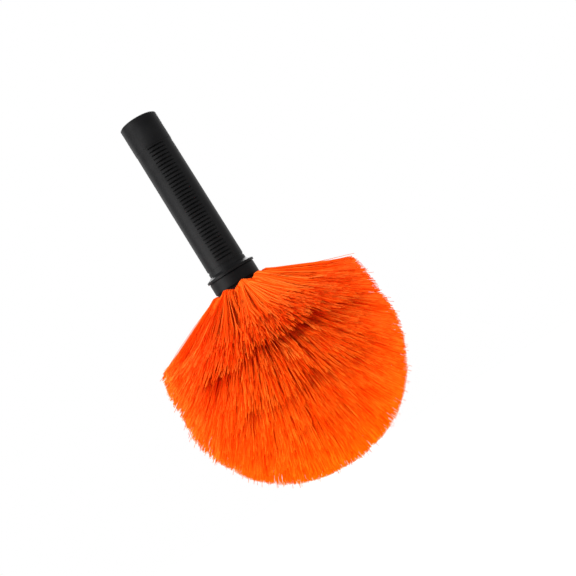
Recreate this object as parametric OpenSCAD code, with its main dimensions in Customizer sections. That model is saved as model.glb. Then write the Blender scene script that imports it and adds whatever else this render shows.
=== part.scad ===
// Domed cobweb brush that pushes onto a pole: a ribbed socket, a bullet-shaped
// core screwed to it, and fanned fibre tufts set in blind holes all over the core.
// Millimetres. The origin is the centre of the socket's mouth. +Z points out of
// the mouth, so the brush hangs below it and heights are negative.

/* [Pole socket] */
// Diameter of the pole
pole_d = 24; // [20:0.5:25]
// Gap between the pole and the socket, on the radius
pole_clearance = 0.15; // [0.05:0.05:0.3]
// Depth to which the pole goes in
pole_depth = 110; // [80:5:110]
// Length of the socket, from its mouth to its seat on the core
socket_len = 140; // [136:1:160]
// Diameter of the plain band at the mouth
band_d = 31.8; // [30:0.2:36]
// Length of the plain band
band_len = 24; // [12:1:40]
// Diameter of the grip at its first rib, next to the band
first_rib_d = 31.4; // [30.8:0.1:35]
// Diameter of the neck, below the last rib
neck_d = 32.3; // [31:0.1:36]
// Number of grooves along each side of the grip
groove_count = 33; // [16:1:34]
// Number of sides that have grooves
groove_sides = 3; // [2:1:4]
// Depth of a groove at its middle, from which it runs out to both ends
groove_depth = 1.8; // [0.6:0.1:2]
// Diameter of the lip
lip_d = 41.6; // [38:0.2:48]
// Thickness of the lip
lip_t = 1.6; // [1:0.1:2.4]
// Thickness of the web that carries the screw's head
web_t = 4; // [3:0.5:6]

/* [Core] */
// Diameter of the collar
collar_d = 39.4; // [38.4:0.2:42]
// Height of the collar
collar_h = 10.3; // [8:0.1:14]
// Diameter of the core below the collar
core_d = 37.8; // [36.4:0.2:38]
// Length of the core, from its seat to the tip of its nose
core_len = 76; // [72:1:84]
// Length over which the core narrows to its nose
nose_len = 40; // [34:1:44]
// Radius of the rounded nose
nose_r = 12; // [11:0.5:14]
// Diameter of the spigot that fills the lower end of the socket
spigot_d = 23.8; // [18:0.2:25]
// Gap round the spigot, on the radius
spigot_clearance = 0.1; // [0.05:0.05:0.3]

/* [Core screw] */
// Diameter of the screw's shank
screw_d = 5; // [4:0.5:6]
// Length of the screw below its head
screw_len = 42; // [30:1:46]
// Diameter of the screw's head
screw_head_d = 10; // [9:0.5:12]
// Height of the screw's head
screw_head_h = 3.6; // [2.5:0.1:4.4]

/* [Tufts] */
// Diameter of a tuft's hole
hole_d = 5.6; // [4.6:0.1:6]
// Depth of a tuft's hole
hole_depth = 9; // [7:0.5:9.5]
// Gap round a tuft's root, on the radius
root_clearance = 0.1; // [0.05:0.05:0.2]
// Height of the first row below the collar
first_row = 3.7; // [3.4:0.1:5]
// Diameter of the rounded bunches next to the collar
first_bunch_d = 12.4; // [10:0.2:12.4]
// Diameter of the rounded bunches in the other rows
bunch_d = 10.4; // [9:0.2:10.8]
// Length of a rounded bunch
bunch_len = 8; // [6:0.5:9]
// Diameter of the dome that the fibre ends make
dome_d = 191.2; // [170:1:220]
// Height of the dome's centre below the socket's seat
dome_drop = 81; // [74:1:90]
// Unevenness of the fibre ends
ragged = 3; // [0:0.5:4]
// Angle between the fans of two rows, seen from the dome's centre
fan_gap = 6; // [5:0.5:8]
// Radius of a strand where it leaves its bunch
strand_root_r = 0.7; // [0.5:0.1:0.8]
// Radius of a strand at its tip, where its fibres have spread
strand_tip_r = 2.9; // [0.5:0.1:3]
// Length of a strand inside its bunch
strand_root_len = 1; // [0.5:0.1:2]

/* [Hidden] */
$fn = 96;

// Tufts in each row, from the collar to the nose
row_tufts = [10, 10, 10, 9, 6, 1];
last_row = len(row_tufts) - 1;
// Latitudes on the dome between which each row fans out
fan_edges = [26, 4, -18.5, -35, -53, -75];
// Direction of a first-row tuft, measured from +X, and how far each row is turned on
row_phase = 11 - 90;
row_turn = [0, 18, 0, 20, 10, 0];
// Share of its cap that the nose tuft's fan fills
cap_fill = 0.66;

// Strands across the bottom, the middle and the top of a tuft's fan, in each row
fan_counts = [[4, 4, 4], [4, 4, 4], [3, 3, 3], [3, 3, 3], [3, 4, 3], [4, 4, 4]];
// Share of the space between two strands by which the middle ones are turned against the others
fan_stagger = 0.5;
strand_sides = 4;
// Room that the strands' roots take on the end of the bunch, as shares of its radius
root_spread = [0.68, 0.5];
ragged_seed = 7;

pole_bore_r = pole_d / 2 + pole_clearance;
edge_break = 0.6;

// Grooves
groove_margin = 2.2;
groove_share = 0.45;
groove_flank = 0.3;
// Direction of the first grooved side, measured from +X
groove_phase = 11 - 90;
relief_h = 1.8;
relief_depth = 0.5;
relief_gap = 3;
shoulder_rise = 2.3;
seat_gap = 0.4;
neck_margin = 3.6;

lip_z = -socket_len + seat_gap;
shoulder_z = lip_z + lip_t;
neck_z = shoulder_z + shoulder_rise;
relief_z = neck_z + relief_gap;
first_groove_z = -band_len - groove_margin;
last_groove_z = relief_z + relief_h + neck_margin;
groove_pitch = (first_groove_z - last_groove_z) / (groove_count - 1);
groove_w = groove_share * groove_pitch;

// Screw and spigot inside the socket
head_room = 1;
recess_r = screw_head_d / 2 + head_room;
recess_h = screw_head_h + 2.4;
web_top_z = -pole_depth - recess_h;
web_z = web_top_z - web_t;
end_gap = 0.3;
spigot_r = spigot_d / 2;
spigot_z = web_z - end_gap;
screw_clearance = 0.3;
pilot_clearance = 0.05;
screw_tip_h = 4;

// Profile of the core: a straight side, a long arc and a round nose, each tangent to the next
seat_z = -socket_len;
collar_z = seat_z - collar_h;
seat_r = collar_d / 2 - edge_break;
core_r = core_d / 2;
tip_z = seat_z - core_len;
nose_z = tip_z + nose_len;
nose_centre_z = tip_z + nose_r;
nose_run = nose_z - nose_centre_z;
side_arc_r = (core_r ^ 2 + nose_run ^ 2 - nose_r ^ 2) / (2 * (core_r - nose_r));
side_arc_x = core_r - side_arc_r;
side_arc_angle = atan2(nose_run, -side_arc_x);
straight_run = collar_z - nose_z;
side_run = side_arc_r * side_arc_angle * PI / 180;
nose_arc_run = nose_r * (90 - side_arc_angle) * PI / 180;
tangent_z = nose_z - side_arc_r * sin(side_arc_angle);
// How far the long arc runs on, inside the straight side
arc_overlap = 2;

// Rows are evenly spaced along the core's profile, from the first row to the tip
profile_run = straight_run + side_run + nose_arc_run;
row_pitch = (profile_run - first_row) / last_row;

dome_r = dome_d / 2;
dome_centre = [0, 0, seat_z - dome_drop];

hole_r = hole_d / 2;
root_r = hole_r - root_clearance;
root_end_gap = 0.3;
bunch_start_gap = 0.3;

// Anchor plate that holds the folded fibres in the hole
anchor_t = 0.6;
anchor_h = 2.4;
anchor_z = 1.2;
anchor_slot_clearance = 0.05;
anchor_len = 2 * (root_r - 0.1);

function row_name(row, i) =
    row == last_row ? "nose_tuft" : str("row_", row + 1, "_tuft_", i < 9 ? "0" : "", i + 1);

// Points and directions on the core and the dome

function unit(v) = v / norm(v);

function blend(a, b, share) = a + (b - a) * share;

// Radius, height and outward slope of the core's profile at a distance along it
function profile_at(run) =
    run < straight_run ? [core_r, collar_z - run, 0]
    : run < straight_run + side_run ? side_point((run - straight_run) / side_arc_r * 180 / PI)
    : nose_point(side_arc_angle + (run - straight_run - side_run) / nose_r * 180 / PI);

function side_point(angle) =
    [side_arc_x + side_arc_r * cos(angle), nose_z - side_arc_r * sin(angle), angle];

function nose_point(angle) =
    [nose_r * cos(angle), nose_centre_z - nose_r * sin(angle), angle];

function row_point(row) = profile_at(first_row + row * row_pitch);

function azimuth(row, i) = row_phase + row_turn[row] + i * 360 / row_tufts[row];

function hole_mouth(row, i) =
    let (p = row_point(row), a = azimuth(row, i))
    [p[0] * cos(a), p[0] * sin(a), p[1]];

function fan_top(row) = fan_edges[row];

function fan_bottom(row) = fan_edges[row + 1] + fan_gap;

// Spots of a fan's strands, [across, up] from -1 to 1, evenly spaced across
function fan_spots(row) =
    [
        for (level = [0:2])
            let (count = fan_counts[row][level], turn = level == 1 ? fan_stagger : -fan_stagger)
            for (k = [0:count - 1])
                [(2 * k + 1 + turn) / count - 1, level - 1]
    ];

function on_sphere(latitude, longitude) =
    [cos(latitude) * cos(longitude), cos(latitude) * sin(longitude), sin(latitude)];

// Direction from the dome's centre to a spot in a tuft's fan, [across, up] from -1 to 1
function fan_direction(row, i, spot) =
    row == last_row
    ? on_sphere(
        -90 + cap_fill * (90 + fan_top(row)) * norm(spot),
        azimuth(row, i) + atan2(spot[0], spot[1])
    )
    : on_sphere(
        blend(fan_bottom(row), fan_top(row), (spot[1] + 1) / 2),
        azimuth(row, i) + spot[0] * 180 / row_tufts[row]
    );

// Direction of a tuft, from its hole to the middle of its fan
function tuft_direction(row, i) =
    unit(dome_centre + dome_r * fan_direction(row, i, [0, 0]) - hole_mouth(row, i));

function across_direction(row, i) = [-sin(azimuth(row, i)), cos(azimuth(row, i)), 0];

function up_direction(row, i) = cross(tuft_direction(row, i), across_direction(row, i));

// Angle between a tuft and -Z
function tuft_lean(row) = acos(-tuft_direction(row, 0)[2]);

// Angle between a tuft and the core's surface normal
function tuft_slant(row) = abs(90 - row_point(row)[2] - tuft_lean(row));

// Distance from the hole's mouth at which a straight root has cleared the core all round
function bunch_start(row) = root_r * tan(tuft_slant(row)) + bunch_start_gap;

function bunch_end(row) = bunch_start(row) + bunch_len;

function bunch_r(row) = (row == 0 ? first_bunch_d : bunch_d) / 2;

function shortening(row, i, place) =
    rands(0, ragged, len(fan_spots(row)), ragged_seed + 20 * row + i)[place];

function strand_start(row, i, spot) =
    hole_mouth(row, i)
        + (bunch_end(row) - strand_root_len) * tuft_direction(row, i)
        + bunch_r(row) * root_spread[0] * spot[0] * across_direction(row, i)
        + bunch_r(row) * root_spread[1] * spot[1] * up_direction(row, i);

function strand_tip(row, i, place) =
    dome_centre
        + (dome_r - shortening(row, i, place)) * fan_direction(row, i, fan_spots(row)[place]);

// Corners of a strand's end, with two of its sides level across the fan
function strand_ring(centre, radius, across, up) =
    [
        for (k = [0:strand_sides - 1])
            let (a = (k + 0.5) * 360 / strand_sides)
            centre + radius * (cos(a) * across + sin(a) * up)
    ];

// Triangles of a strand: its sides, then its two ends
strand_faces = concat(
    [
        for (k = [0:strand_sides - 1])
            let (next = (k + 1) % strand_sides)
            each [
                [k, next + strand_sides, next],
                [k, k + strand_sides, next + strand_sides]
            ]
    ],
    [for (k = [1:strand_sides - 2]) [0, k, k + 1]],
    [for (k = [1:strand_sides - 2]) strand_sides * [1, 1, 1] + [k + 1, k, 0]]
);

module strand(row, i, place) {
    start = strand_start(row, i, fan_spots(row)[place]);
    tip = strand_tip(row, i, place);
    along = unit(tip - start);
    up = unit(cross(along, across_direction(row, i)));
    across = cross(up, along);
    polyhedron(
        points = concat(
            strand_ring(start, strand_root_r, across, up),
            strand_ring(tip, strand_tip_r, across, up)
        ),
        faces = strand_faces
    );
}

// Moves children from a hole's own frame, +Z out of the hole, to the hole
module at_hole(row, i) {
    translate(hole_mouth(row, i))
        rotate([0, 180 - tuft_lean(row), azimuth(row, i)])
            children();
}

module at_each_hole() {
    for (row = [0:last_row], i = [0:row_tufts[row] - 1])
        at_hole(row, i) children();
}

// Pole socket

function rib_r(z) =
    blend(first_rib_d, neck_d, (first_groove_z - z) / (first_groove_z - last_groove_z)) / 2;

// Outline of the cut for one groove, from its upper edge to its lower edge
function groove_outline(z) =
    let (r = rib_r(z), edge = groove_w / 2, floor_edge = groove_w / 2 - groove_flank)
    [
        [lip_d / 2, z + edge],
        [r, z + edge],
        [r - groove_depth, z + floor_edge],
        [r - groove_depth, z - floor_edge],
        [r, z - edge],
        [lip_d / 2, z - edge]
    ];

// Straight grooves of one side, cut flat across the round grip like the teeth of a comb
module groove_cuts() {
    rotate([90, 0, 0])
        linear_extrude(height = lip_d, center = true)
            polygon(concat(
                [[lip_d, first_groove_z + groove_w]],
                [[lip_d / 2, first_groove_z + groove_w]],
                [
                    for (k = [0:groove_count - 1])
                        each groove_outline(first_groove_z - k * groove_pitch)
                ],
                [[lip_d / 2, last_groove_z - groove_w]],
                [[lip_d, last_groove_z - groove_w]]
            ));
}

module handle_socket() {
    color("#26262a")
    difference() {
        rotate_extrude()
            polygon([
                [0, 0],
                [band_d / 2 - edge_break, 0],
                [band_d / 2, -edge_break],
                [band_d / 2, -band_len],
                [first_rib_d / 2, -band_len],
                [first_rib_d / 2, first_groove_z],
                [neck_d / 2, last_groove_z],
                [neck_d / 2, relief_z + relief_h],
                [neck_d / 2 - relief_depth, relief_z + relief_h],
                [neck_d / 2 - relief_depth, relief_z],
                [neck_d / 2, relief_z],
                [neck_d / 2, neck_z],
                [lip_d / 2, shoulder_z],
                [lip_d / 2, lip_z],
                [seat_r, lip_z],
                [seat_r, seat_z],
                [0, seat_z]
            ]);
        for (side = [0:groove_sides - 1])
            rotate([0, 0, groove_phase + side * 360 / groove_sides])
                groove_cuts();
        translate([0, 0, -pole_depth])
            cylinder(r = pole_bore_r, h = pole_depth + 1);
        translate([0, 0, web_top_z])
            cylinder(r = recess_r, h = recess_h + 1);
        translate([0, 0, web_z - 1])
            cylinder(r = screw_d / 2 + screw_clearance, h = web_t + 2);
        translate([0, 0, seat_z - 1])
            cylinder(r = spigot_r + spigot_clearance, h = web_z - seat_z + 1);
    }
}

// Core

// Spigot, collar and straight side
module core_body() {
    rotate_extrude()
        polygon([
            [0, spigot_z],
            [spigot_r - edge_break, spigot_z],
            [spigot_r, spigot_z - edge_break],
            [spigot_r, seat_z],
            [collar_d / 2 - edge_break, seat_z],
            [collar_d / 2, seat_z - edge_break],
            [collar_d / 2, collar_z + edge_break],
            [collar_d / 2 - edge_break, collar_z],
            [core_r, collar_z],
            [core_r, nose_z],
            [0, nose_z]
        ]);
}

// Turned solid of the part of a circle that lies between two heights
module turned_arc(centre, radius, low, high) {
    rotate_extrude()
        intersection() {
            translate(centre)
                circle(r = radius);
            translate([0, low])
                square([2 * core_r, high - low]);
        }
}

module brush_core() {
    color("#2c2c32")
    difference() {
        union() {
            core_body();
            turned_arc([side_arc_x, nose_z], side_arc_r, tangent_z, nose_z + arc_overlap);
            turned_arc([0, nose_centre_z], nose_r, tip_z, tangent_z);
        }
        translate([0, 0, web_top_z - screw_len - end_gap])
            cylinder(r = screw_d / 2 + pilot_clearance, h = screw_len);
        at_each_hole()
            translate([0, 0, -hole_depth])
                cylinder(r = hole_r, h = 2 * hole_depth);
    }
}

module core_screw() {
    color("silver")
    rotate_extrude()
        polygon([
            [0, web_top_z + screw_head_h],
            [screw_head_d / 4, web_top_z + screw_head_h],
            [screw_head_d / 2, web_top_z + screw_head_h / 2],
            [screw_head_d / 2, web_top_z],
            [screw_d / 2, web_top_z],
            [screw_d / 2, web_top_z - screw_len + screw_tip_h],
            [0, web_top_z - screw_len]
        ]);
}

// Tufts

module anchor(grow) {
    translate([-anchor_t / 2 - grow, -anchor_len / 2 - grow, -hole_depth + root_end_gap + anchor_z - grow])
        cube([anchor_t + 2 * grow, anchor_len + 2 * grow, anchor_h + 2 * grow]);
}

module tuft_anchors() {
    color("silver")
    at_each_hole()
        anchor(0);
}

module tuft_root(row) {
    root_z = -hole_depth + root_end_gap;
    difference() {
        rotate_extrude()
            polygon([
                [0, root_z],
                [root_r, root_z],
                [root_r, bunch_start(row)],
                [bunch_r(row), bunch_start(row) + bunch_len / 2],
                [bunch_r(row), bunch_end(row)],
                [0, bunch_end(row)]
            ]);
        anchor(anchor_slot_clearance);
    }
}

module tuft(row, i) {
    color(row < 2 ? "#ff5a1e" : "#ff4a00") {
        at_hole(row, i)
            tuft_root(row);
        for (place = [0:len(fan_spots(row)) - 1])
            strand(row, i, place);
    }
}

handle_socket();
brush_core();
core_screw();
tuft_anchors();
for (row = [0:last_row], i = [0:row_tufts[row] - 1])
    tuft(row, i);
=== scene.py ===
"""A domed cobweb brush: a ribbed black pole socket, and thousands of orange fibres in fanned tufts.
Metres, in the part's own frame: the socket's mouth is at the origin and the fibres hang below it."""

import math
from collections import namedtuple

import bpy
import numpy as np
from mathutils import Matrix, Vector


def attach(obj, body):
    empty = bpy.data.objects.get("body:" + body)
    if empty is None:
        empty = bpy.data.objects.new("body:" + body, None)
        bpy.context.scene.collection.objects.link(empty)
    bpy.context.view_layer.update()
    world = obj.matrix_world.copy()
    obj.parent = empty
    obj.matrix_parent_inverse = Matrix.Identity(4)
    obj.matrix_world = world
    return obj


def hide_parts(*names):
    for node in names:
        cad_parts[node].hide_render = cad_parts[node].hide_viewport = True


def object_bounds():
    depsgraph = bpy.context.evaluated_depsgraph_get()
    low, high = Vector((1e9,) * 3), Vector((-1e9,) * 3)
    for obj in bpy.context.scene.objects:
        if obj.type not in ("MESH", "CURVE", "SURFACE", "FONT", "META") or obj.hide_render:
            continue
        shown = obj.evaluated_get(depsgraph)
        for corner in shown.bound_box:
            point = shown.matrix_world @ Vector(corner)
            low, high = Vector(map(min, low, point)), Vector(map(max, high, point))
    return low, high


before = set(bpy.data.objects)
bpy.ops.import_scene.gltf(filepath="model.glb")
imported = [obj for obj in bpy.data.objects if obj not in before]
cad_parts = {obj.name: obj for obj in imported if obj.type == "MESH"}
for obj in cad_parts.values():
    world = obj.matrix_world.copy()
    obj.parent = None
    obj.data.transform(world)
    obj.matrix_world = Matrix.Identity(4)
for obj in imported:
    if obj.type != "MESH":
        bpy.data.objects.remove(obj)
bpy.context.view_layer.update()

MM = 0.001

# Photograph: its width, the direction in which the part's axis runs in it, how far its centre lies from the
# socket's mouth along the axis and across it, and the scale, which holds at the axis
PHOTO_PX = 576
AXIS_RIGHT, AXIS_DOWN = 0.5279, 0.8493
CENTRE_ALONG_PX = 220.2
CENTRE_ACROSS_PX = 40.0
METRES_PER_PX = 0.79 * MM
CAMERA_DISTANCE = 0.670
SENSOR_WIDTH_MM = 36.0

# The brush hangs free, so the floor lies well below it
FLOOR_DROP = 2.5
FLOOR_HALF_WIDTH = 12.0

# Point that the lights are turned to
LIT_POINT = (0.0, 0.0, -0.2)

# Core that carries the tufts
SEAT_Z = -140.0 * MM
COLLAR_Z = SEAT_Z - 10.3 * MM
CORE_R = 18.9 * MM
TIP_Z = SEAT_Z - 76.0 * MM
SIDE_END_Z = TIP_Z + 40.0 * MM
NOSE_R = 12.0 * MM
FIRST_ROW = 3.7 * MM

# Rows of tufts, from the collar to the nose, in millimetres and degrees:
# turn is the first tuft's turn about the axis, aim the latitude that its hole points to
# top and bottom are the latitudes on the dome between which the fibres end
# lift is how much higher the top and the bottom are where the brush faces the camera or away from it
# reach is how far the fibres go past the dome, at the top and at the bottom
# bunch is a bunch's half-width across and up, and how far its middle rises
# shade is how much painted shade darkens its upper fibres within the dome, clumping and ragged how uneven its
# ends are
Row = namedtuple("Row", "tufts turn aim top bottom lift reach bunch shade clumping ragged")
ROWS = [
    Row(10, 0, 18.0, 25.0, 4.9, (0.0, 8.0), (2.8, -2.0), (8.6, 4.8, 0.6), 0.0, 0.40, 0.9),
    Row(10, 18, -4.25, 3.6, -17.1, (5.5, 6.0), (-2.0, 0.8), (6.6, 5.4, 0.6), 1.0, 0.35, 0.9),
    Row(10, 0, -23.75, -17.9, -33.1, (4.0, 3.5), (0.2, 0.2), (6.4, 5.2, 0.4), 0.7, 0.30, 0.8),
    Row(9, 20, -41.0, -33.9, -51.6, (2.5, 1.0), (1.0, 1.2), (6.0, 5.0, 0.2), 0.1, 0.25, 0.6),
    Row(6, 10, -61.0, -52.4, -74.6, (0.5, 0.0), (1.8, 0.2), (5.6, 5.0, 0.0), 0.0, 0.25, 0.5),
    Row(1, 0, -90.0, -75.0, -90.0, (0.0, 0.0), (0.2, 0.2), (5.4, 5.4, 0.0), 0.0, 0.25, 0.5),
]
LAST_ROW = len(ROWS) - 1
# Longitude that the turns are counted from: the camera is at -90 degrees
ROW_PHASE = 11 - 90
# How far, in degrees, the bottom of one tuft's fan can lie from its row's
BOTTOM_SHIFT = (-0.8, 1.2)

# Bunch of fibres just outside a hole: how far out it starts, how long it is, how much narrower it is at its
# top, and how much more it rises at the front and back
HOLE_R = 2.7 * MM
MOUTH_GAP = 0.2 * MM
BUNCH_LEN = 8.0 * MM
BUNCH_TAPER = 0.5
FRONT_RISE = 1.8 * MM

# Dome that the fibre ends make
DOME_R = 95.6 * MM
DOME_CENTRE = np.array([0.0, 0.0, SEAT_Z - 81.0 * MM])

# Fibres: each has seven rings, mouth, neck, belly, waist, third, most and tip, whose widths are shares of its
# radius, and each spot that one starts from is the best of a few tries
FIBRES_PER_TUFT = 480
FIBRES_PER_CLUMP = 5
TRIES_PER_SPOT = 6
FIBRE_R = 0.25 * MM
FIBRE_SIDES = 3
RING_WIDTHS = np.array([0.8, 1.0, 1.0, 1.0, 1.0, 1.0, 0.72])
WAIST, MOST = 3, 5

# Way of a fibre from waist to tip: where its two free rings are, how far it bows toward the nose at the outer
# one, how far a clump and each fibre by itself stray from that way, and how much of both the inner one has
THIRD_SHARE, MOST_SHARE = 0.36, 0.7
BOW = 1.3 * MM
CLUMP_SAG = 0.9 * MM
FIBRE_SAG = 0.35 * MM
THIRD_BOW, THIRD_SAG = 0.5, 0.7

# Spots of the tips in a fan, as shares of its half-size: how far they spread and scatter, how far out they
# may be, the least that a clump draws together, and how much the fan's foot is scalloped
TIP_SPREAD = 1.07
TIP_SCATTER = (0.03, 0.05)
TIP_LIMIT = 1.04
LEAST_CLUMPING = 0.1
SCALLOP = 0.14

# Lengths: how much a fibre may fall short, the share of strays, and how far those go past the others
MOST_SHORT = 8.0 * MM
STRAY_SHARE = 0.02
STRAY_PAST_MM = (0.5, 3.0)

# How much the tone varies from clump to clump and from fibre to fibre, and how much painted shade a tuft at
# the side gets within the dome, as a share of one at the front
CLUMP_TONE = 0.16
FIBRE_TONE = 0.26
SIDE_SHADE = 0.3

# One fibre stands out at the dome's upper right: its row and tuft, where it ends, and how far past the dome
LONG_FIBRE_TUFT = (0, 2)
LONG_FIBRE_LATITUDE, LONG_FIBRE_LONGITUDE = 25.3, 0.0
LONG_FIBRE_PAST = 4.6 * MM

SEED = 1000


def unit(vectors):
    return vectors / np.linalg.norm(vectors, axis=-1, keepdims=True)


def blend(start, end, share):
    return start + (end - start) * share


# Core and tufts


def core_profile():
    """Radius, height and slope of the core at each row: a straight side, a long arc and a round nose."""
    nose_centre_z = TIP_Z + NOSE_R
    nose_run = SIDE_END_Z - nose_centre_z
    arc_r = (CORE_R**2 + nose_run**2 - NOSE_R**2) / (2 * (CORE_R - NOSE_R))
    arc_x = CORE_R - arc_r
    arc_angle = math.atan2(nose_run, -arc_x)
    straight = COLLAR_Z - SIDE_END_Z
    arc_run = arc_r * arc_angle
    total = straight + arc_run + NOSE_R * (math.pi / 2 - arc_angle)
    points = []
    for row in range(len(ROWS)):
        run = FIRST_ROW + row * (total - FIRST_ROW) / LAST_ROW
        if run < straight:
            points.append((CORE_R, COLLAR_Z - run, 0.0))
        elif run < straight + arc_run:
            angle = (run - straight) / arc_r
            points.append((arc_x + arc_r * math.cos(angle), SIDE_END_Z - arc_r * math.sin(angle), angle))
        else:
            angle = arc_angle + (run - straight - arc_run) / NOSE_R
            points.append((NOSE_R * math.cos(angle), nose_centre_z - NOSE_R * math.sin(angle), angle))
    return points


def on_sphere(latitude, longitude):
    """Unit vectors for latitudes and longitudes in degrees."""
    lat, lon = np.radians(latitude), np.radians(longitude)
    return np.stack([np.cos(lat) * np.cos(lon), np.cos(lat) * np.sin(lon), np.sin(lat)], axis=-1)


class Tuft:
    """Place and directions of one tuft."""

    def __init__(self, row, number, rng):
        radius, height, slope = core_profile()[row]
        self.row = ROWS[row]
        self.is_nose = row == LAST_ROW
        self.azimuth = ROW_PHASE + self.row.turn + number * 360.0 / self.row.tufts
        angle = math.radians(self.azimuth)
        self.mouth = np.array([radius * math.cos(angle), radius * math.sin(angle), height])
        # 1 where the tuft faces the camera or away from it, and 0 at the sides
        self.facing = math.sin(angle) ** 2
        self.top, self.bottom = (
            edge + lift * self.facing for edge, lift in zip((self.row.top, self.row.bottom), self.row.lift)
        )
        if not self.is_nose:
            self.bottom += rng.uniform(*BOTTOM_SHIFT)
        aim = on_sphere(self.row.aim, self.azimuth)
        self.out = unit(DOME_CENTRE + DOME_R * aim - self.mouth)
        self.across = np.array([-math.sin(angle), math.cos(angle), 0.0])
        self.up = np.cross(self.out, self.across)
        # How far out the fibres are clear of the core on every side, as it slopes across the hole
        lean = math.acos(-self.out[2])
        self.start = HOLE_R * math.tan(abs(math.pi / 2 - slope - lean)) + MOUTH_GAP

    def fan(self, spots):
        """Directions from the dome's centre, and reach past the dome, at spots [across, up] from -1 to 1."""
        if self.is_nose:
            share = np.linalg.norm(spots, axis=1)
            longitude = self.azimuth + np.degrees(np.arctan2(spots[:, 0], spots[:, 1]))
        else:
            share = (spots[:, 1] + 1) / 2
            share += SCALLOP * spots[:, 0] ** 2 * (1 - np.clip(share, 0.0, 1.0)) ** 2
            longitude = self.azimuth + spots[:, 0] * 180.0 / self.row.tufts
        latitude = blend(self.bottom, self.top, share)
        top_reach, bottom_reach = self.row.reach
        return on_sphere(latitude, longitude), blend(bottom_reach, top_reach, share) * MM


# Fibres


def rounded_square(rng, count):
    """Random spots in a square with rounded corners, from -1 to 1 each way."""
    spots = []
    while len(spots) < count:
        spot = rng.uniform(-1.0, 1.0, 2)
        if abs(spot[0]) ** 4 + abs(spot[1]) ** 4 <= 1.0:
            spots.append(spot)
    return np.array(spots)


def spread_spots(rng, count):
    """Spots that keep clear of each other: the best of several tries each time."""
    spots = rounded_square(rng, count * TRIES_PER_SPOT).reshape(count, TRIES_PER_SPOT, 2)
    kept = [spots[0, 0]]
    for group in spots[1:]:
        gaps = np.linalg.norm(group[:, None, :] - np.array(kept)[None, :, :], axis=2).min(axis=1)
        kept.append(group[int(gaps.argmax())])
    return np.array(kept)


def to_disc(spots):
    """The same spots, moved from the square on to a disc."""
    length = np.linalg.norm(spots, axis=1)
    reach = np.maximum(np.abs(spots).max(axis=1), 1e-6)
    return spots * (reach / np.maximum(length, 1e-6))[:, None]


def fibre_tips(tuft, spots, centres, clump, rng):
    """Points where the fibres end, and the spots of the fan that they end in."""
    count = len(spots)
    pull = rng.uniform(LEAST_CLUMPING, tuft.row.clumping, len(centres))[clump][:, None]
    tip_spots = TIP_SPREAD * blend(spots, centres[clump], pull) + rng.normal(0.0, TIP_SCATTER, (count, 2))
    directions, reach = tuft.fan(np.clip(tip_spots, -TIP_LIMIT, TIP_LIMIT))
    ragged = tuft.row.ragged * MM
    shorter = rng.gamma(1.3, ragged, len(centres))[clump] + np.abs(rng.normal(0.0, 0.8 * ragged, count))
    stray = rng.random(count) < STRAY_SHARE
    change = np.where(stray, rng.uniform(*STRAY_PAST_MM, count) * MM, -np.minimum(shorter, MOST_SHORT))
    return DOME_CENTRE + (DOME_R + reach + change)[:, None] * directions, tip_spots


def bunch_rings(tuft, spots):
    """Centres of the fibres' first four rings, which swell from the hole to the rounded bunch outside it."""
    across, up, rise = (size * MM for size in tuft.row.bunch)
    rise += FRONT_RISE * tuft.facing
    disc = to_disc(spots)

    def ring(distance, share, lift):
        taper = 1.0 - share * BUNCH_TAPER * np.maximum(disc[:, 1:], 0.0)
        sideways = blend(HOLE_R, across, share) * taper * disc[:, :1] * tuft.across
        upward = (blend(HOLE_R, up, share) * disc[:, 1:] + lift * rise) * tuft.up
        return tuft.mouth + distance * tuft.out + sideways + upward

    mouth = ring(MOUTH_GAP, 0.0, 0.0)
    neck = ring(tuft.start, 0.6, 0.4)
    belly = ring(tuft.start + 0.35 * BUNCH_LEN, 1.0, 1.0)
    waist = ring(tuft.start + BUNCH_LEN, 1.0, 0.9)
    return mouth, neck, belly, waist


def fibre_lines(tuft, rng):
    """Centre points of each fibre's rings, [fibre, ring, xyz], with a tone and a depth of painted shade for
    each.
    """
    count = FIBRES_PER_TUFT
    spots = spread_spots(rng, count)
    centres = spread_spots(rng, count // FIBRES_PER_CLUMP)
    clump = np.linalg.norm(spots[:, None, :] - centres[None, :, :], axis=2).argmin(axis=1)
    tips, tip_spots = fibre_tips(tuft, spots, centres, clump, rng)
    mouth, neck, belly, waist = bunch_rings(tuft, spots)
    sag = rng.normal(0.0, CLUMP_SAG, (len(centres), 3))[clump] + rng.normal(0.0, FIBRE_SAG, (count, 3))
    third = blend(waist, tips, THIRD_SHARE) + THIRD_SAG * sag - THIRD_BOW * BOW * tuft.up
    most = blend(waist, tips, MOST_SHARE) + sag - BOW * tuft.up
    lines = np.stack([mouth, neck, belly, waist, third, most, tips], axis=1)

    tone = 0.5 + CLUMP_TONE * rng.normal(size=len(centres))[clump] + FIBRE_TONE * rng.normal(size=count)
    # Painted shade: strongest on a fan's upper fibres, which lie beneath the ends of the row above, and
    # weaker on tufts at the sides
    shade = tuft.row.shade * blend(SIDE_SHADE, 1.0, tuft.facing) * rng.uniform(0.7, 1.0)
    painted_shade = np.clip(0.3 + 0.7 * tip_spots[:, 1], 0.0, 1.0) * shade
    return lines, np.clip(tone, 0.0, 1.0), painted_shade


def add_long_fibre(lines):
    """Turns the tuft's topmost fibre into the one that stands out in the photo."""
    topmost = int(lines[:, WAIST, 2].argmax())
    tip = DOME_CENTRE + (DOME_R + LONG_FIBRE_PAST) * on_sphere(LONG_FIBRE_LATITUDE, LONG_FIBRE_LONGITUDE)
    most = blend(lines[topmost, WAIST], tip, MOST_SHARE) - [0.0, 0.0, BOW]
    lines[topmost, MOST:] = [most, tip]


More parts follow.
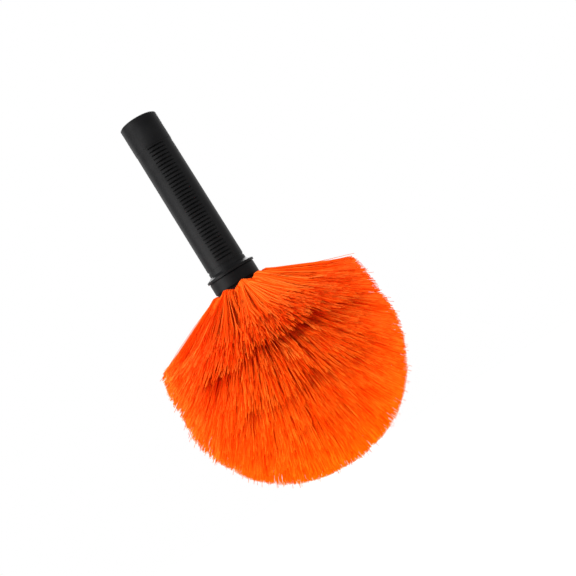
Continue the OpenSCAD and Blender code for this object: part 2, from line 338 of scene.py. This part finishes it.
def ring_corners(lines):
    """Corners of all the rings, [corner, xyz], square to the fibres' way."""
    along = np.empty_like(lines)
    along[:, 1:-1] = lines[:, 2:] - lines[:, :-2]
    along[:, 0] = lines[:, 1] - lines[:, 0]
    along[:, -1] = lines[:, -1] - lines[:, -2]
    along = unit(along)
    helper = np.where(np.abs(along[:, :1, 2:]) > 0.9, [[[1.0, 0.0, 0.0]]], [[[0.0, 0.0, 1.0]]])
    side = unit(np.cross(along, helper))
    up = np.cross(side, along)
    turns = 2 * math.pi * np.arange(FIBRE_SIDES) / FIBRE_SIDES
    widths = (FIBRE_R * RING_WIDTHS)[None, :, None, None]
    circle = (
        np.cos(turns)[None, None, :, None] * side[:, :, None, :]
        + np.sin(turns)[None, None, :, None] * up[:, :, None, :]
    )
    return (lines[:, :, None, :] + widths * circle).reshape(-1, 3)


def tube_faces(count, rings):
    """Faces between the rings and at both ends of each fibre, as numbers of corners."""
    first = (np.arange(count) * rings * FIBRE_SIDES)[:, None, None]
    ring = (np.arange(rings - 1) * FIBRE_SIDES)[None, :, None]
    corner = np.arange(FIBRE_SIDES)
    here = first + ring + corner
    beside = first + ring + (corner + 1) % FIBRE_SIDES
    walls = np.stack([here, beside, beside + FIBRE_SIDES, here + FIBRE_SIDES], axis=-1).reshape(-1, 4)
    ends = first[:, 0] + (rings - 1) * FIBRE_SIDES + corner
    roots = first[:, 0] + corner[::-1]
    return walls.tolist() + ends.tolist() + roots.tolist()


def fibre_mesh(name, lines, tone, painted_shade):
    """One mesh of three-sided tubes along the lines, with what their colour depends on, painted shade and
    painted light among it.
    """
    count, rings, _ = lines.shape
    mesh = bpy.data.meshes.new(name)
    mesh.from_pydata(ring_corners(lines).tolist(), [], tube_faces(count, rings))
    mesh.polygons.foreach_set("use_smooth", [True] * len(mesh.polygons))
    per_fibre = rings * FIBRE_SIDES
    depth = (DOME_CENTRE[2] - lines[:, -1, 2]) / DOME_R
    values = {
        "tone": np.repeat(tone, per_fibre),
        "painted_shade": np.repeat(painted_shade, per_fibre),
        # Painted light: the lower on the dome a fibre ends, the lighter and yellower it is painted
        "low": np.repeat(0.5 + 0.5 * depth, per_fibre),
        "reach": np.tile(np.repeat(np.linspace(0.0, 1.0, rings), FIBRE_SIDES), count),
    }
    for key, numbers in values.items():
        mesh.attributes.new(key, "FLOAT", "POINT").data.foreach_set("value", numbers.astype(np.float32))
    mesh.update()
    return mesh


def make_tuft(row, number, material):
    """Fine fibres in the place of one tuft's solid."""
    node = "nose_tuft" if row == LAST_ROW else f"row_{row + 1}_tuft_{number + 1:02d}"
    rng = np.random.default_rng(SEED + 100 * row + number)
    lines, tone, painted_shade = fibre_lines(Tuft(row, number, rng), rng)
    if (row, number) == LONG_FIBRE_TUFT:
        add_long_fibre(lines)
    piece = bpy.data.objects.new("fibres_" + node, fibre_mesh("fibres_" + node, lines, tone, painted_shade))
    bpy.context.scene.collection.objects.link(piece)
    piece.data.materials.append(material)
    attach(piece, "root")
    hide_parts(node)


# Materials


class Nodes:
    """Short calls for building one material's node tree."""

    def __init__(self, name):
        self.material = bpy.data.materials.new(name)
        self.material.use_nodes = True
        self.tree = self.material.node_tree
        self.shader = self.tree.nodes["Principled BSDF"]

    def add(self, kind, inputs=(), **settings):
        node = self.tree.nodes.new(kind)
        for key, value in settings.items():
            setattr(node, key, value)
        for key, value in dict(inputs).items():
            self.put(node.inputs[key], value)
        return node

    def put(self, socket, value):
        if isinstance(value, bpy.types.NodeSocket):
            self.tree.links.new(value, socket)
        else:
            socket.default_value = value

    def set(self, key, value):
        self.put(self.shader.inputs[key], value)

    def value(self, attribute):
        return self.add("ShaderNodeAttribute", attribute_name=attribute).outputs["Fac"]

    def ramp(self, value, stops):
        """Colour that runs through the stops, each a position and a colour, as the value grows."""
        node = self.add("ShaderNodeValToRGB", {"Fac": value})
        elements = node.color_ramp.elements
        while len(elements) < len(stops):
            elements.new(0.5)
        for element, (position, color) in zip(elements, stops):
            element.position = position
            element.color = (*color, 1.0)
        return node.outputs["Color"]

    def mix(self, first, second, factor):
        """The first colour, and as much of the second as the factor says."""
        node = self.add("ShaderNodeMix", data_type="RGBA")
        for key, value in (("Factor", factor), ("A", first), ("B", second)):
            sockets = [socket for socket in node.inputs if socket.name == key and socket.enabled]
            self.put(sockets[0], (*value, 1.0) if isinstance(value, tuple) else value)
        return [socket for socket in node.outputs if socket.enabled][0]

    def remap(self, value, low, high, at_low, at_high):
        """A number that runs from at_low to at_high as the value runs from low to high."""
        node = self.add("ShaderNodeMapRange", {"Value": value})
        for key, number in (("From Min", low), ("From Max", high), ("To Min", at_low), ("To Max", at_high)):
            node.inputs[key].default_value = number
        return node.outputs["Result"]

    def times(self, first, second):
        return self.add("ShaderNodeMath", {0: first, 1: second}, operation="MULTIPLY").outputs["Value"]

    def noise(self, scale, detail=3.0):
        coords = self.add("ShaderNodeTexCoord").outputs["Object"]
        node = self.add("ShaderNodeTexNoise", {"Vector": coords, "Scale": scale, "Detail": detail})
        return node.outputs["Fac"]

    def bump(self, height, strength, distance):
        node = self.add("ShaderNodeBump", {"Height": height, "Strength": strength, "Distance": distance})
        self.put(self.shader.inputs["Normal"], node.outputs["Normal"])


def fibre_material():
    """Stiff orange fibre: each one a little different, with painted light that makes it yellower low on the
    dome, and painted shade that darkens it within the dome and at the roots.
    """
    nodes = Nodes("orange_fibre")
    tone = nodes.value("tone")
    reach = nodes.value("reach")
    # Painted light: the second set of stops, lighter and yellower, is blended in lower on the dome
    high_stops = [(0.0, (0.80, 0.034, 0.001)), (0.5, (0.95, 0.099, 0.009)), (1.0, (1.0, 0.195, 0.036))]
    painted_light_low_stops = [(0.0, (0.92, 0.060, 0.0)), (0.5, (1.0, 0.120, 0.001)), (1.0, (1.0, 0.210, 0.003))]
    # Painted shade colour for the fibres beneath the row above
    painted_shade_colour = (0.36, 0.004, 0.0)
    # Painted shade at the fibres' roots, where they crowd into the core
    root = (0.55, 0.012, 0.001)
    color = nodes.mix(nodes.ramp(tone, high_stops), nodes.ramp(tone, painted_light_low_stops), nodes.value("low"))
    # Painted shade, deepest partway along the fibre and fading toward its tip
    depth = nodes.times(nodes.remap(reach, 0.72, 1.0, 0.75, 0.15), nodes.value("painted_shade"))
    color = nodes.mix(color, painted_shade_colour, depth)
    # Painted shade at the roots, fading out over the first part of each fibre
    nodes.set("Base Color", nodes.mix(color, root, nodes.remap(reach, 0.0, 0.15, 0.8, 0.0)))
    nodes.set("Roughness", 0.55)
    nodes.set("Specular IOR Level", 0.0)
    return nodes.material


def plastic_material(name, low, high, roughness):
    """Moulded black plastic, between two greys: a faint mottle, fine grain and slightly uneven gloss."""
    nodes = Nodes(name)
    mottle = nodes.noise(90.0)
    grain = nodes.noise(2600.0, 2.0)
    greys = [(0.3, (low, low, 1.07 * low)), (0.7, (high, high, 1.07 * high))]
    nodes.set("Base Color", nodes.ramp(mottle, greys))
    gloss = [(0.25, (roughness - 0.05,) * 3), (0.75, (roughness + 0.06,) * 3)]
    nodes.set("Roughness", nodes.ramp(mottle, gloss))
    nodes.set("Specular IOR Level", 0.12)
    nodes.bump(grain, 0.12, 0.0002)
    return nodes.material


def steel_material():
    """Plated steel of the hidden screw and anchors, with a slightly uneven polish."""
    nodes = Nodes("plated_steel")
    mottle = nodes.noise(400.0)
    nodes.set("Base Color", nodes.ramp(mottle, [(0.3, (0.55, 0.55, 0.53)), (0.7, (0.68, 0.68, 0.66))]))
    nodes.set("Metallic", 1.0)
    nodes.set("Roughness", nodes.ramp(mottle, [(0.3, (0.25,) * 3), (0.7, (0.4,) * 3)]))
    return nodes.material


def floor_material():
    """Pale matt floor, which glows a little so that it stays as white as the photo's ground."""
    nodes = Nodes("pale_floor")
    tones = [(0.3, (0.93, 0.93, 0.93)), (0.7, (0.96, 0.96, 0.96))]
    nodes.set("Base Color", nodes.ramp(nodes.noise(3.0), tones))
    nodes.set("Roughness", 0.9)
    nodes.set("Specular IOR Level", 0.1)
    nodes.set("Emission Color", (1.0, 1.0, 1.0, 1.0))
    nodes.set("Emission Strength", 0.6)
    return nodes.material


def assign(node, material):
    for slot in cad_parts[node].material_slots:
        slot.material = material


# Stage


def make_floor():
    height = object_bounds()[0][2] - FLOOR_DROP
    mesh = bpy.data.meshes.new("floor")
    sides = ((-1, -1), (1, -1), (1, 1), (-1, 1))
    corners = [(x * FLOOR_HALF_WIDTH, y * FLOOR_HALF_WIDTH, height) for x, y in sides]
    mesh.from_pydata(corners, [], [(0, 1, 2, 3)])
    floor = bpy.data.objects.new("floor", mesh)
    bpy.context.scene.collection.objects.link(floor)
    mesh.materials.append(floor_material())


def make_camera():
    """Looks along +Y at the photo's centre, and is rolled so that the axis slopes as it does there."""
    data = bpy.data.cameras.new("camera")
    data.sensor_width = SENSOR_WIDTH_MM
    data.sensor_fit = "HORIZONTAL"
    half_view = METRES_PER_PX * PHOTO_PX / 2
    data.lens = data.sensor_width / 2 * CAMERA_DISTANCE / half_view
    camera = bpy.data.objects.new("camera", data)
    bpy.context.scene.collection.objects.link(camera)
    right = (AXIS_DOWN, 0.0, -AXIS_RIGHT)
    up = (AXIS_RIGHT, 0.0, AXIS_DOWN)
    back = (0.0, -1.0, 0.0)
    place = (CENTRE_ACROSS_PX * METRES_PER_PX, -CAMERA_DISTANCE, -CENTRE_ALONG_PX * METRES_PER_PX)
    camera.matrix_world = Matrix([*zip(right, up, back, place), (0.0, 0.0, 0.0, 1.0)])
    bpy.context.scene.camera = camera


def area_light(name, place, size, power):
    """A round soft light, turned to the lit point."""
    data = bpy.data.lights.new(name, "AREA")
    data.shape = "DISK"
    data.size = size
    data.energy = power
    light = bpy.data.objects.new(name, data)
    bpy.context.scene.collection.objects.link(light)
    light.location = place
    away = light.location - Vector(LIT_POINT)
    light.rotation_euler = away.to_track_quat("Z", "Y").to_euler()


def make_lights():
    area_light("key", (-0.50, -0.60, 0.82), 0.35, 23.0)
    area_light("low_left", (-0.95, -0.55, -0.40), 1.2, 17.0)
    area_light("low_right", (0.75, -0.45, -0.75), 0.7, 8.5)
    area_light("rim", (-1.0, 0.7, 0.2), 0.5, 0.5)
    area_light("back", (0.0, 1.0, 0.5), 0.8, 8.0)


def make_world():
    """White to the eye, but what it lights sees a studio that is dim on the near side."""
    world = bpy.data.worlds.new("studio")
    world.use_nodes = True
    tree = world.node_tree
    background = tree.nodes["Background"]
    coords = tree.nodes.new("ShaderNodeTexCoord")
    split = tree.nodes.new("ShaderNodeSeparateXYZ")
    tree.links.new(coords.outputs["Generated"], split.inputs["Vector"])
    room = tree.nodes.new("ShaderNodeMapRange")
    tree.links.new(split.outputs["Y"], room.inputs["Value"])
    for key, number in (("From Min", -0.6), ("From Max", 0.7), ("To Min", 0.35), ("To Max", 0.85)):
        room.inputs[key].default_value = number
    path = tree.nodes.new("ShaderNodeLightPath")
    seen = tree.nodes.new("ShaderNodeMath")
    seen.operation = "MAXIMUM"
    tree.links.new(path.outputs["Is Camera Ray"], seen.inputs[0])
    tree.links.new(room.outputs["Result"], seen.inputs[1])
    tree.links.new(seen.outputs["Value"], background.inputs["Strength"])
    background.inputs["Color"].default_value = (1.0, 1.0, 1.0, 1.0)
    bpy.context.scene.world = world


def main():
    bpy.context.scene.view_settings.view_transform = "Standard"
    make_world()
    make_camera()
    make_lights()
    make_floor()
    assign("handle_socket", plastic_material("socket_plastic", 0.0032, 0.0050, 0.40))
    assign("brush_core", plastic_material("core_plastic", 0.0018, 0.0030, 0.45))
    steel = steel_material()
    assign("core_screw", steel)
    assign("tuft_anchors", steel)
    fibre = fibre_material()
    for row, settings in enumerate(ROWS):
        for number in range(settings.tufts):
            make_tuft(row, number, fibre)


main()
